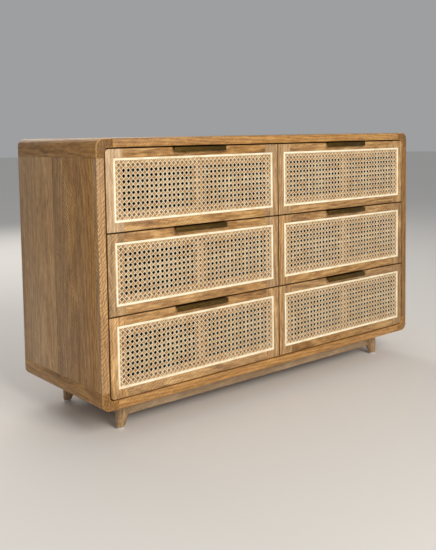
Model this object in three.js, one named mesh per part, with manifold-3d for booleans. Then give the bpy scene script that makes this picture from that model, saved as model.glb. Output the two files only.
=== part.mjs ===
// Six-drawer dresser with woven cane drawer fronts: a rounded carcass on a recessed base with turned legs.
// Sizes are millimetres. X runs along the width, Y to the back, Z up; the origin is on the floor, centred.
import * as THREE from 'three';
import { mergeVertices } from 'three/addons/utils/BufferGeometryUtils.js';
import Module from 'manifold-3d';

const wasm = await Module();
wasm.setup();

// ---------------------------------------------------------------- driving sizes
const WIDTH = 1380;
const DEPTH = 484;
const LEG_HEIGHT = 92.5;
const CARCASS_HEIGHT = 769.5;
const FIT = 0.3; // clearance between pieces that touch

const SIDE = 25; // carcass wall thicknesses
const TOP = 25;
const BOTTOM = 26;
const CORNER_ARM = 54;
const CORNER_OUTER = 24;
const CORNER_INNER = 15;

const REVEAL = 4; // shadow gap round each drawer front
const ROWS = ['bottom', 'middle', 'top'];
const COLUMNS = ['left', 'right'];

const DIVIDER = 22;
const BACK_BOARD = { thick: 6, inset: 8 };
const WEB = { thick: 20, setback: 27, frontRail: 60, rearRail: 40, runner: 36 };

const FRONT = { thick: 22, stile: 56, rail: 55, mullion: 34, corner: 12 };
const REBATE = { insetX: 24, insetZ: 26, deep: 2.5 };
const BEAD = { wide: 7, proud: 2 };
const CANE_THICK = 1;
const PULL = { wide: 198, thick: 1.8, reach: 12, lip: 14.5, flange: 16, notch: 2 };
const BOX = { lift: 9, height: 190, length: 430, wall: 13, sideGap: 4, bottomThick: 6, bottomLift: 10 };

const BASE = { inset: 78, rail: 22, drop: 55, plate: 18, plateFrom: 60, plateTo: 150 };
const LEG = { insetX: 107, insetY: 81.5, splayX: 14, splayY: 3, footRadius: 13.3, topRadius: 24.5 };
const GLIDE = { radius: 11.5, height: 5, edge: 1.2 };

// ---------------------------------------------------------------- derived places
const left = -WIDTH / 2;
const front = -DEPTH / 2;
const back = DEPTH / 2;
const carcassBottom = LEG_HEIGHT;
const carcassTop = LEG_HEIGHT + CARCASS_HEIGHT;
const floorInside = carcassBottom + BOTTOM;
const ceilingInside = carcassTop - TOP;
const backFace = back - BACK_BOARD.inset - BACK_BOARD.thick;
const frontHeight = (CARCASS_HEIGHT - TOP - BOTTOM - 4 * REVEAL) / 3;
const frontWidth = (WIDTH - 2 * SIDE - 3 * REVEAL) / 2;
const bayWidth = WIDTH / 2 - SIDE - DIVIDER / 2;
const bayCentre = (SIDE + bayWidth / 2) - WIDTH / 2;
const runnerTop = BOX.lift - 0.5; // top of a runner, above the bottom edge of the front it serves

// ---------------------------------------------------------------- materials
const paint = (color, roughness, metalness = 0) => new THREE.MeshStandardMaterial({ color, roughness, metalness });
const finish = {
  wood: paint('#b0824c', 0.55),
  boxWood: paint('#c9a877', 0.6),
  cane: paint('#d9bd8c', 0.65),
  bead: paint('#efe0bb', 0.5),
  brass: paint('#6b5a33', 0.4, 0.9),
  ply: paint('#8d6d4a', 0.7),
  plastic: paint('#cfd2d0', 0.4),
};

// ---------------------------------------------------------------- geometry helpers
/** A closed box between two corners. */
function block([x0, y0, z0], [x1, y1, z1]) {
  const geometry = new THREE.BoxGeometry(x1 - x0, y1 - y0, z1 - z0);
  return geometry.translate((x0 + x1) / 2, (y0 + y1) / 2, (z0 + z1) / 2);
}

/** A shape drawn in X and Z, given depth along Y from y0 to y1. */
function extrudeAlongY(shape, y0, y1) {
  const geometry = new THREE.ExtrudeGeometry(shape, { depth: y1 - y0, bevelEnabled: false, curveSegments: 12 });
  return geometry.rotateX(Math.PI / 2).translate(0, y1, 0);
}

/** Points along an arc, both ends included. */
function arc(centreX, centreY, radius, from, to, steps = 10) {
  return Array.from({ length: steps + 1 }, (_, step) => {
    const angle = from + ((to - from) * step) / steps;
    return [centreX + radius * Math.cos(angle), centreY + radius * Math.sin(angle)];
  });
}

/** A closed outline through points given as pairs. */
const outline = (pairs) => new THREE.Shape(pairs.map(([x, y]) => new THREE.Vector2(x, y)));

/** A rectangle as a closed outline. */
const rectangle = (x0, y0, x1, y1) => outline([[x0, y0], [x1, y0], [x1, y1], [x0, y1]]);

/** A rectangular ring: the outer rectangle with the inner one cut out. */
function ring(outer, inner) {
  const shape = rectangle(...outer);
  shape.holes.push(rectangle(...inner));
  return shape;
}

/** One corner of a centred outline: a quarter circle, or the bare corner where the radius is 0. */
function corner(x, z, radius) {
  if (radius === 0) return [[x, z]];
  const from = Math.floor(Math.atan2(z, x) / (Math.PI / 2)) * (Math.PI / 2);
  return arc(x - Math.sign(x) * radius, z - Math.sign(z) * radius, radius, from, from + Math.PI / 2);
}

/** Turn a three.js geometry into a manifold-3d solid. */
function solid(geometry) {
  const bare = geometry.clone();
  bare.deleteAttribute('normal');
  bare.deleteAttribute('uv');
  const merged = mergeVertices(bare, 1e-4);
  const vertProperties = new Float32Array(merged.attributes.position.array);
  const triVerts = new Uint32Array(merged.index.array);
  return new wasm.Manifold(new wasm.Mesh({ numProp: 3, vertProperties, triVerts }));
}

/** Turn a manifold-3d solid back into a flat-shaded three.js geometry. */
function geometryOf(body) {
  const mesh = body.getMesh();
  const indexed = new THREE.BufferGeometry();
  indexed.setAttribute('position', new THREE.BufferAttribute(new Float32Array(mesh.vertProperties), 3));
  indexed.setIndex(new THREE.BufferAttribute(new Uint32Array(mesh.triVerts), 1));
  const geometry = indexed.toNonIndexed();
  geometry.computeVertexNormals();
  return geometry;
}

/** A named sub-part. */
function piece(name, geometry, material) {
  const mesh = new THREE.Mesh(geometry, material);
  mesh.name = name;
  return mesh;
}

// ---------------------------------------------------------------- carcass
/** One corner block of the carcass: a thick bend that joins a side to the top or the bottom. */
function cornerBlock(sideways, upright) {
  const wall = upright === 'top' ? TOP : BOTTOM;
  const flipX = sideways === 'left' ? 1 : -1;
  const flipZ = upright === 'top' ? -1 : 1;
  const edge = upright === 'top' ? carcassTop : carcassBottom;
  const profile = [
    [CORNER_ARM, 0],
    ...arc(CORNER_OUTER, CORNER_OUTER, CORNER_OUTER, 1.5 * Math.PI, Math.PI),
    [0, CORNER_ARM],
    [SIDE, CORNER_ARM],
    ...arc(SIDE + CORNER_INNER, wall + CORNER_INNER, CORNER_INNER, Math.PI, 1.5 * Math.PI),
    [CORNER_ARM, wall],
  ];
  const shape = outline(profile.map(([x, z]) => [flipX * (left + x), edge + flipZ * z]));
  return piece(`corner_block_${upright}_${sideways}`, extrudeAlongY(shape, front, back), finish.wood);
}

/** The bottom board with the four glued runner strips that carry the bottom drawers. */
function bottomPanel() {
  const reach = -left - CORNER_ARM - FIT;
  let body = solid(block([-reach, front, carcassBottom], [reach, back, floorInside]));
  const stripTop = floorInside + REVEAL + runnerTop;
  const outer = -left - CORNER_ARM;
  for (const sign of [-1, 1]) {
    for (const [from, to] of [[outer - 4, outer - 4 - WEB.runner], [DIVIDER / 2 + 1, DIVIDER / 2 + 1 + WEB.runner]]) {
      const x0 = Math.min(sign * from, sign * to);
      const x1 = Math.max(sign * from, sign * to);
      const strip = block([x0, front + WEB.setback, floorInside - 1], [x1, backFace - 10, stripTop]);
      body = body.add(solid(strip));
    }
  }
  return piece('bottom_panel', geometryOf(body), finish.wood);
}

/** Sides, top, back board and the upright that parts the two columns. */
function carcassPanels() {
  const armTop = carcassTop - CORNER_ARM - FIT;
  const armBottom = carcassBottom + CORNER_ARM + FIT;
  const reach = -left - CORNER_ARM - FIT;
  const innerX = -left - SIDE - 1;
  const dividerX = DIVIDER / 2;
  const innerZ = (ceilingInside - floorInside) / 2 - 1;
  const radius = CORNER_INNER + 1;
  const corners = [[innerX, -innerZ], [innerX, innerZ], [-innerX, innerZ], [-innerX, -innerZ]];
  const rounded = outline(corners.flatMap(([x, z]) => corner(x, z, radius)));
  const backPanel = extrudeAlongY(rounded, backFace, backFace + BACK_BOARD.thick);
  backPanel.translate(0, 0, (floorInside + ceilingInside) / 2);
  return [
    piece('top_panel', block([-reach, front, ceilingInside], [reach, back, carcassTop]), finish.wood),
    piece('left_side', block([left, front, armBottom], [left + SIDE, back, armTop]), finish.wood),
    piece('right_side', block([-left - SIDE, front, armBottom], [-left, back, armTop]), finish.wood),
    piece('back_panel', backPanel, finish.ply),
    piece(
      'center_divider',
      block([-dividerX, front + WEB.setback, floorInside + FIT], [dividerX, backFace - FIT, ceilingInside - FIT]),
      finish.ply,
    ),
  ];
}

/** A flat open frame in one bay: drawers above it ride on its side rails. */
function webFrame(column, level, z) {
  const sign = column === 'left' ? 1 : -1;
  const halfWidth = bayWidth / 2 - FIT;
  const shape = ring(
    [-halfWidth, front + WEB.setback, halfWidth, backFace - FIT],
    [-halfWidth + WEB.runner, front + WEB.setback + WEB.frontRail, halfWidth - WEB.runner, backFace - WEB.rearRail],
  );
  const geometry = new THREE.ExtrudeGeometry(shape, { depth: WEB.thick, bevelEnabled: false });
  const mesh = piece(`web_frame_${level}_${column}`, geometry, finish.ply);
  mesh.position.set(sign * bayCentre, 0, z - WEB.thick / 2);
  return mesh;
}

// ---------------------------------------------------------------- base and legs
/** A leaning, tapered leg with flat level ends; grow makes it fatter all round for cutting its socket. */
function legGeometry(signX, signY, z0, z1, grow) {
  const points = [new THREE.Vector2(0, z0)];
  for (let step = 0; step <= 8; step += 1) {
    const along = step / 8;
    const swell = 1.2 * Math.sin(Math.PI * along);
    const radius = THREE.MathUtils.lerp(LEG.footRadius, LEG.topRadius, along) + swell + grow;
    points.push(new THREE.Vector2(radius, THREE.MathUtils.lerp(z0, z1, along)));
  }
  points.push(new THREE.Vector2(0, z1));
  const geometry = new THREE.LatheGeometry(points, 40).rotateX(Math.PI / 2);
  const lean = new THREE.Matrix4();
  const perHeight = 1 / (LEG_HEIGHT - BASE.plate);
  lean.elements[8] = -signX * LEG.splayX * perHeight; // x gained for each unit of z
  lean.elements[9] = -signY * LEG.splayY * perHeight;
  return geometry.applyMatrix4(lean).translate(
    signX * (-left - LEG.insetX),
    signY * (back - LEG.insetY),
    0,
  );
}

/** Four rails and four corner plates as one glued frame, scooped where the legs stand. */
function baseFrame() {
  const top = carcassBottom - FIT;
  const railBottom = carcassBottom - BASE.drop;
  const x1 = -left - LEG.insetX - LEG.splayX;
  const y1 = back - BASE.inset;
  const y0 = y1 - BASE.rail;
  let body = null;
  const join = (from, to) => {
    const next = solid(block(from, to));
    body = body ? body.add(next) : next;
  };
  for (const sign of [-1, 1]) {
    join([-x1, Math.min(sign * y0, sign * y1), railBottom], [x1, Math.max(sign * y0, sign * y1), top]);
    const sideX = sign * x1;
    join([sideX - BASE.rail / 2, -y0 - 5, railBottom], [sideX + BASE.rail / 2, y0 + 5, top]);
  }
  for (const signX of [-1, 1]) {
    for (const signY of [-1, 1]) {
      const xs = [signX * (-left - BASE.plateFrom - 30), signX * (-left - BASE.plateTo - 30)];
      const ys = [signY * (back - BASE.plateFrom), signY * (back - BASE.plateTo)];
      join([Math.min(...xs), Math.min(...ys), carcassBottom - BASE.plate], [Math.max(...xs), Math.max(...ys), top]);
    }
  }
  for (const signX of [-1, 1]) {
    for (const signY of [-1, 1]) {
      const cutter = legGeometry(signX, signY, 0, LEG_HEIGHT - BASE.plate, 2 * FIT);
      body = body.subtract(solid(cutter));
    }
  }
  return piece('base_frame', geometryOf(body), finish.wood);
}

/** Legs and the plastic glides under them. */
function legsAndGlides() {
  const meshes = [];
  for (const [sideways, signX] of [['left', -1], ['right', 1]]) {
    for (const [endways, signY] of [['front', -1], ['rear', 1]]) {
      const leg = legGeometry(signX, signY, GLIDE.height + FIT, LEG_HEIGHT - BASE.plate - FIT, 0);
      meshes.push(piece(`leg_${endways}_${sideways}`, leg, finish.wood));
      const { radius, height, edge } = GLIDE;
      const profile = [[0, 0], [radius - edge, 0], [radius, edge], [radius, height], [0, height]];
      const disc = new THREE.LatheGeometry(profile.map(([r, z]) => new THREE.Vector2(r, z)), 32);
      const glide = piece(`glide_${endways}_${sideways}`, disc.rotateX(Math.PI / 2), finish.plastic);
      glide.position.set(signX * (-left - LEG.insetX), signY * (back - LEG.insetY), 0);
      meshes.push(glide);
    }
  }
  return meshes;
}

// ---------------------------------------------------------------- drawers
/** The outline of a drawer front, seen from the front, with its pull notch and one rounded outer corner. */
function frontOutline(column, row) {
  const [x, z] = [frontWidth / 2, frontHeight / 2];
  const [notchX, notchZ] = [PULL.wide / 2 + FIT, z - PULL.notch];
  const outerSide = column === 'left' ? -1 : 1;
  const outerEnd = { bottom: -1, middle: 0, top: 1 }[row];
  const turn = (signX, signZ) => {
    const rounded = signX === outerSide && signZ === outerEnd;
    return corner(signX * x, signZ * z, rounded ? FRONT.corner : 0);
  };
  const notch = [[notchX, z], [notchX, notchZ], [-notchX, notchZ], [-notchX, z]];
  return outline([...turn(1, -1), ...turn(1, 1), ...notch, ...turn(-1, 1), ...turn(-1, -1)]);
}

/** The wooden front frame with two windows, and the shallow rebate that the cane lies in. */
function frontFrame(column, row) {
  const windowTop = frontHeight / 2 - FRONT.rail;
  const windowEdge = frontWidth / 2 - FRONT.stile;
  const [x, z] = [frontWidth / 2 - REBATE.insetX, frontHeight / 2 - REBATE.insetZ];
  const cuts = [
    block([-windowEdge, -1, -windowTop], [-FRONT.mullion / 2, FRONT.thick + 1, windowTop]),
    block([FRONT.mullion / 2, -1, -windowTop], [windowEdge, FRONT.thick + 1, windowTop]),
    block([-x, -1, -z], [x, REBATE.deep, z]),
  ];
  const blank = solid(extrudeAlongY(frontOutline(column, row), 0, FRONT.thick));
  return geometryOf(cuts.reduce((body, cut) => body.subtract(solid(cut)), blank));
}

/** The hooked metal pull: a front lip, a plate over the top edge and a flange behind it. */
function pullGeometry() {
  const t = PULL.thick;
  const top = frontHeight / 2;
  const rear = FRONT.thick + FIT;
  const points = [
    [-PULL.reach, top], [-PULL.reach, top - PULL.lip], [-PULL.reach + t, top - PULL.lip], [-PULL.reach + t, top - t],
    [rear, top - t], [rear, top - PULL.flange], [rear + t, top - PULL.flange], [rear + t, top],
  ];
  const geometry = new THREE.ExtrudeGeometry(outline(points), { depth: PULL.wide, bevelEnabled: false });
  return geometry.rotateX(Math.PI / 2).rotateZ(Math.PI / 2).translate(-PULL.wide / 2, 0, 0);
}

/** One whole drawer as a group at its front's middle; y = 0 is the front face. */
function drawer(column, row) {
  const name = `${row}_${column}`;
  const level = ROWS.indexOf(row);
  const group = new THREE.Group();
  const sign = column === 'left' ? -1 : 1;
  const middleX = sign * (frontWidth + REVEAL) / 2;
  const middleZ = floorInside + REVEAL + level * (frontHeight + REVEAL) + frontHeight / 2;
  group.position.set(middleX, front, middleZ);

  const [beadX, beadZ] = [frontWidth / 2 - REBATE.insetX - FIT, frontHeight / 2 - REBATE.insetZ - FIT];
  const [caneX, caneZ] = [beadX - BEAD.wide, beadZ - BEAD.wide];
  const caneFace = REBATE.deep - FIT - CANE_THICK;
  const bead = ring([-beadX, -beadZ, beadX, beadZ], [-caneX, -caneZ, caneX, caneZ]);
  const cane = [[-caneX + FIT, caneFace, -caneZ + FIT], [caneX - FIT, caneFace + CANE_THICK, caneZ - FIT]];

  const boxX = sign * -bayCentre - middleX; // the box is centred in its bay, the front is not
  const half = bayWidth / 2 - BOX.sideGap;
  const boxFront = FRONT.thick + FIT;
  const boxBack = boxFront + BOX.length;
  const boxBottom = -frontHeight / 2 + BOX.lift;
  const inside = [half - BOX.wall, boxFront + BOX.wall, boxBack - BOX.wall];
  const walls = ring([-half, boxFront, half, boxBack], [-inside[0], inside[1], inside[0], inside[2]]);
  const box = new THREE.ExtrudeGeometry(walls, { depth: BOX.height, bevelEnabled: false });
  const panelZ = boxBottom + BOX.bottomLift;
  const panel = block(
    [boxX - inside[0] + FIT, inside[1] + FIT, panelZ],
    [boxX + inside[0] - FIT, inside[2] - FIT, panelZ + BOX.bottomThick],
  );

  group.add(
    piece(`${name}_front_frame`, frontFrame(column, row), finish.wood),
    piece(`${name}_cane_panel`, block(...cane), finish.cane),
    piece(`${name}_bead_trim`, extrudeAlongY(bead, -BEAD.proud, REBATE.deep - FIT), finish.bead),
    piece(`${name}_edge_pull`, pullGeometry(), finish.brass),
    piece(`${name}_drawer_box`, box.translate(boxX, 0, boxBottom), finish.boxWood),
    piece(`${name}_drawer_bottom`, panel, finish.boxWood),
  );
  return group;
}

// ---------------------------------------------------------------- assembly
const dresser = new THREE.Group();
dresser.position.y = PULL.reach / 2; // the pulls stand proud of the fronts; this centres the whole object
for (const sideways of COLUMNS) {
  for (const upright of ['top', 'bottom']) dresser.add(cornerBlock(sideways, upright));
}
dresser.add(...carcassPanels(), bottomPanel(), baseFrame(), ...legsAndGlides());
for (const column of COLUMNS) {
  const gapMiddle = (level) => floorInside + REVEAL / 2 + level * (frontHeight + REVEAL);
  dresser.add(webFrame(column, 'lower', gapMiddle(1)), webFrame(column, 'upper', gapMiddle(2)));
  for (const row of ROWS) dresser.add(drawer(column, row));
}

export default dresser;
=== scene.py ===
"""A low dresser: six cane-fronted drawers in a rounded hardwood carcass on short turned legs.

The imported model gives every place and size; this script gives the looks. Lengths are metres unless a name
ends in _mm, X runs along the width, Y to the back and Z up.
"""

from __future__ import annotations

import logging
import math
import random
import zlib
from collections.abc import Callable, Iterable, Sequence
from dataclasses import dataclass, field
from enum import Enum

import bmesh
import bpy
from mathutils import Matrix, Vector

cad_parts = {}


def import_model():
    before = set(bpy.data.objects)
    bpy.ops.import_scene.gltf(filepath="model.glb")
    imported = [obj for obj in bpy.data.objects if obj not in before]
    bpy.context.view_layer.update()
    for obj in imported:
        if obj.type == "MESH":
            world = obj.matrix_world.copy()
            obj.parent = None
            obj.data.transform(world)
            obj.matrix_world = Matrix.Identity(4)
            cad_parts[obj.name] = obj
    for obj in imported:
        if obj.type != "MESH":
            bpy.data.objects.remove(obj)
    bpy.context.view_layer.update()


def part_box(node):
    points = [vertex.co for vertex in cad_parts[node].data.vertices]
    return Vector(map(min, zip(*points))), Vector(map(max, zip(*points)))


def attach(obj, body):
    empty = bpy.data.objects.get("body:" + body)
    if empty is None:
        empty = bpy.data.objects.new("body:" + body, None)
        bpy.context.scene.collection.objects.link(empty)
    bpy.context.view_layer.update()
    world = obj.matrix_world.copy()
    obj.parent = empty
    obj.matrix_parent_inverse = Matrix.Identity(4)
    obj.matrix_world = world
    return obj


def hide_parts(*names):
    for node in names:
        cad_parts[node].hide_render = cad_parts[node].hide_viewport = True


log = logging.getLogger("dresser")

MM = 0.001
TOUCHING = 0.05 * MM  # points nearer than this count as one
Point = Sequence[float]
Socket = bpy.types.NodeSocket
EdgeTest = Callable[[Vector, Vector], bool]
# how light a point's colour is painted: above 1 a painted highlight, below 1 painted shade
PaintedLight = Callable[[Vector], float]


class Grain(Enum):
    """The axis that a board's fibres run along, with the axes across its width and through its thickness."""

    ALONG_X = (0, 2, 1)
    ALONG_Y = (1, 2, 0)
    ALONG_Z = (2, 0, 1)
    ALONG_Z_SIDE = (2, 1, 0)
    ALONG_X_TOP = (0, 1, 2)
    ALONG_Y_TOP = (1, 0, 2)


@dataclass(frozen=True)
class Tone:
    """How one board differs from the next.

    Attributes:
        light: Brightness, 1 for the wood as named.
        grey: 0 for golden wood to 1 for the greyer, pinker sapwood.
        figure: Strength of the ripple that crosses the grain.
        ends: Brightness of the end grain, which drinks more lacquer and goes darker.
    """

    light: float = 1.0
    grey: float = 0.2
    figure: float = 0.3
    ends: float = 1.0


# ------------------------------------------------------------------------------------------- modelling


def activate(piece: bpy.types.Object) -> None:
    """Select one object alone and make it active."""
    bpy.ops.object.select_all(action="DESELECT")
    piece.select_set(True)
    bpy.context.view_layer.objects.active = piece


def settle(piece: bpy.types.Object) -> None:
    """Move an object's place, turn and scale into its mesh."""
    activate(piece)
    bpy.ops.object.transform_apply(location=True, rotation=True, scale=True)


def block(low: Point, high: Point) -> bpy.types.Object:
    """Add a box between two corners.

    Args:
        low: The lowest corner.
        high: The highest corner.

    Returns:
        The new object, with its place in its mesh.
    """
    bpy.ops.object.select_all(action="DESELECT")
    middle = [(a + b) / 2 for a, b in zip(low, high)]
    size = [b - a for a, b in zip(low, high)]
    bpy.ops.mesh.primitive_cube_add(size=1, location=middle, scale=size)
    piece = bpy.context.active_object
    settle(piece)
    return piece


def round_edges(piece: bpy.types.Object, chosen: EdgeTest, radius: float, segments: int) -> None:
    """Round some of a mesh's edges.

    Args:
        piece: The mesh object.
        chosen: Says of an edge's two ends whether to round it.
        radius: The rounding's radius.
        segments: The number of flats that make it up.
    """
    activate(piece)
    bpy.ops.object.mode_set(mode="EDIT")
    bpy.ops.mesh.select_mode(type="EDGE")
    bpy.ops.mesh.select_all(action="DESELECT")
    shape = bmesh.from_edit_mesh(piece.data)
    for edge in shape.edges:
        edge.select_set(chosen(edge.verts[0].co, edge.verts[1].co))
    bmesh.update_edit_mesh(piece.data)
    bpy.ops.mesh.bevel(offset=radius, segments=segments, affect="EDGES", profile=0.5)
    bpy.ops.object.mode_set(mode="OBJECT")


def on_line(**fixed: float) -> EdgeTest:
    """Choose the edges that lie on a line or a plane.

    Args:
        **fixed: The coordinates, by axis name, that both ends must have.

    Returns:
        A test of an edge's two ends.
    """

    def chosen(a: Vector, b: Vector) -> bool:
        """True for an edge with both ends there."""
        gaps = [abs(getattr(end, axis) - value) for axis, value in fixed.items() for end in (a, b)]
        return max(gaps) < TOUCHING

    return chosen


def slice_off(piece: bpy.types.Object, corner: Point, normal: Point) -> None:
    """Cut away what lies beyond a plane and close the cut.

    Args:
        piece: The mesh object.
        corner: A point on the plane.
        normal: The plane's direction, towards what goes.
    """
    activate(piece)
    bpy.ops.object.mode_set(mode="EDIT")
    bpy.ops.mesh.select_all(action="SELECT")
    bpy.ops.mesh.bisect(plane_co=corner, plane_no=normal, use_fill=True, clear_outer=True)
    bpy.ops.object.mode_set(mode="OBJECT")


def copy_to(piece: bpy.types.Object, spot: Point, name: str) -> bpy.types.Object:
    """Copy a piece, with a mesh of its own, to a new place.

    Args:
        piece: The piece to copy.
        spot: Where the copy goes.
        name: The copy's name.

    Returns:
        The copy, with its place in its mesh.
    """
    twin = piece.copy()
    twin.data = piece.data.copy()
    twin.name = name
    bpy.context.collection.objects.link(twin)
    twin.location = spot
    settle(twin)
    return twin


def modify(piece: bpy.types.Object, kind: str, **settings: object) -> None:
    """Add a modifier and apply it.

    Args:
        piece: The mesh object.
        kind: The modifier's type.
        **settings: Its settings.
    """
    activate(piece)
    modifier = piece.modifiers.new(kind.title(), kind)
    for key, value in settings.items():
        setattr(modifier, key, value)
    bpy.ops.object.modifier_apply(modifier=modifier.name)


def carve(piece: bpy.types.Object, cutter: bpy.types.Object) -> None:
    """Cut one object out of another and throw the cutter away."""
    modify(piece, "BOOLEAN", operation="DIFFERENCE", solver="EXACT", object=cutter)
    bpy.data.objects.remove(cutter, do_unlink=True)


def ease(piece: bpy.types.Object, width: float, segments: int = 2) -> None:
    """Take the sharpness off every hard edge and shade the piece smoothly between them.

    Args:
        piece: The mesh object.
        width: The width that is taken off.
        segments: The number of flats that make up the rounding.
    """
    modify(
        piece, "BEVEL", width=width, segments=segments, limit_method="ANGLE", angle_limit=math.radians(32),
        harden_normals=False, use_clamp_overlap=True,
    )
    activate(piece)
    bpy.ops.object.shade_smooth_by_angle(angle=math.radians(38))


def join(pieces: Sequence[bpy.types.Object], name: str) -> bpy.types.Object:
    """Join objects into one named object.

    Args:
        pieces: The objects.
        name: The name of the whole.

    Returns:
        The joined object.
    """
    bpy.ops.object.select_all(action="DESELECT")
    for piece in pieces:
        piece.select_set(True)
    bpy.context.view_layer.objects.active = pieces[0]
    if len(pieces) > 1:
        bpy.ops.object.join()
    pieces[0].name = name
    pieces[0].data.name = name
    return pieces[0]


def write_attribute(piece: bpy.types.Object, name: str, values: Iterable[Point]) -> None:
    """Store one vector for each point of a mesh.

    Args:
        piece: The mesh object.
        name: The attribute's name.
        values: One vector for each vertex, in order.
    """
    attribute = piece.data.attributes.new(name, "FLOAT_VECTOR", "POINT")
    attribute.data.foreach_set("vector", [number for value in values for number in value])


class Joinery:
    """A bench that cuts boards and glues them up, each with its own run of grain."""

    def __init__(self, name: str) -> None:
        """Start a piece.

        Args:
            name: The finished piece's name, which also fixes its grain.
        """
        self.name = name
        self.random = random.Random(zlib.crc32(name.encode()))
        self.boards: list[bpy.types.Object] = []

    def lay_grain(self, piece: bpy.types.Object, grain: Grain, tone: Tone, painted_light: PaintedLight | None) -> None:
        """Give a board its own grain coordinates and tone.

        The grain coordinates are metres along the fibres, across the face and through the thickness, counted
        from the heart of the tree that this board was sawn from.

        Args:
            piece: The board.
            grain: How its fibres run.
            tone: How it differs from other boards.
            painted_light: Says of a point how light its colour is painted, for painted highlights and painted
                shade.
        """
        corners = [Vector(corner) for corner in piece.bound_box]
        middle = sum(corners, Vector()) / len(corners)
        along, across, through = grain.value
        start = self.random.uniform(0, 40)
        aside = self.random.uniform(-0.05, 0.05)
        deep = self.random.uniform(0.04, 0.13)
        points = [vertex.co for vertex in piece.data.vertices]
        laid = [
            (p[along] + start, p[across] - middle[across] + aside, p[through] - middle[through] + deep)
            for p in points
        ]
        light = tone.light * self.random.uniform(0.96, 1.04)
        first, last = min(p[along] for p in points), max(p[along] for p in points)
        shares = []
        for point in points:
            at_end = min(point[along] - first, last - point[along]) < 2 * TOUCHING
            # end grain is darker, and the painted highlight or painted shade comes on top
            shares.append((tone.ends if at_end else 1.0) * (painted_light(point) if painted_light else 1.0))
        write_attribute(piece, "grain", laid)
        tones = [(light * share, tone.grey * min(1.0, share), tone.figure) for share in shares]
        write_attribute(piece, "tone", tones)

    def add(
        self, piece: bpy.types.Object, grain: Grain, tone: Tone, seam: float = 0.45 * MM,
        painted_light: PaintedLight | None = None,
    ) -> None:
        """Ease a shaped board's edges, lay its grain and put it with the rest.

        Args:
            piece: The shaped board.
            grain: How its fibres run.
            tone: How it differs from other boards.
            seam: The width that is taken off its sharp edges, which shows as a fine line where boards meet.
            painted_light: Says of a point how light its colour is painted, for painted highlights and painted
                shade.
        """
        ease(piece, seam)
        self.lay_grain(piece, grain, tone, painted_light)
        self.boards.append(piece)

    def board(self, low: Point, high: Point, grain: Grain, tone: Tone, seam: float = 0.45 * MM) -> None:
        """Cut a plain board between two corners and put it with the rest."""
        self.add(block(low, high), grain, tone, seam)

    def glue(self) -> bpy.types.Object:
        """Join the boards into the finished piece."""
        return join(self.boards, self.name)


def place(
    piece: bpy.types.Object, material: bpy.types.Material, body: str, nodes: Sequence[str] = ()
) -> None:
    """Dress a finished piece and fix it to its body.

    Args:
        piece: The finished piece.
        material: Its finish.
        body: The body that it moves with.
        nodes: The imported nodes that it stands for.
    """
    piece.data.materials.clear()
    piece.data.materials.append(material)
    if nodes:
        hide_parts(*nodes)
    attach(piece, body)
    log.info("%s rides on %s with %d faces", piece.name, body, len(piece.data.polygons))


# ------------------------------------------------------------------------------------------- finishes


def linear(colour: str) -> tuple[float, float, float, float]:
    """Turn an sRGB hex colour such as #b98850 into linear RGBA."""
    channels = [int(colour[i : i + 2], 16) / 255 for i in (1, 3, 5)]
    bent = [c / 12.92 if c <= 0.04045 else ((c + 0.055) / 1.055) ** 2.4 for c in channels]
    return (bent[0], bent[1], bent[2], 1.0)


def feed(node: bpy.types.Node, links: dict[object, object]) -> None:
    """Link sockets to a node's inputs, or set plain values on them.

    Args:
        node: The node.
        links: For each input, by name or number, the socket that feeds it or its plain value.
    """
    for key, value in links.items():
        if isinstance(value, Socket):
            node.id_data.links.new(value, node.inputs[key])
        else:
            node.inputs[key].default_value = value


def add(
    tree: bpy.types.NodeTree, kind: str, links: dict[object, object], output: object = 0,
    stops: Sequence[tuple[float, Point]] = (), **settings: object,
) -> Socket:
    """Add a node with its settings and links.

    Args:
        tree: The node tree.
        kind: The node's type, without the ShaderNode that starts it.
        links: For each input, by name or number, the socket that feeds it or its plain value.
        output: The output that is wanted, by name or number.
        stops: The place and linear colour of each stop of a colour ramp, in order.
        **settings: The node's own properties.

    Returns:
        The output's socket.
    """
    node = tree.nodes.new(f"ShaderNode{kind}")
    for key, value in settings.items():
        setattr(node, key, value)
    feed(node, links)
    if stops:
        elements = node.color_ramp.elements
        while len(elements) < len(stops):
            elements.new(0.5)
        for element, (position, colour) in zip(elements, stops):
            element.position = position
            element.color = colour
    return node.outputs[output]


def new_material(name: str) -> tuple[bpy.types.Material, bpy.types.NodeTree, bpy.types.Node]:
    """Make an empty material with one Principled shader.

    Args:
        name: The material's name.

    Returns:
        The material, its node tree and its Principled shader.
    """
    material = bpy.data.materials.new(name)
    material.use_nodes = True
    tree = material.node_tree
    return material, tree, tree.nodes["Principled BSDF"]


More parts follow.
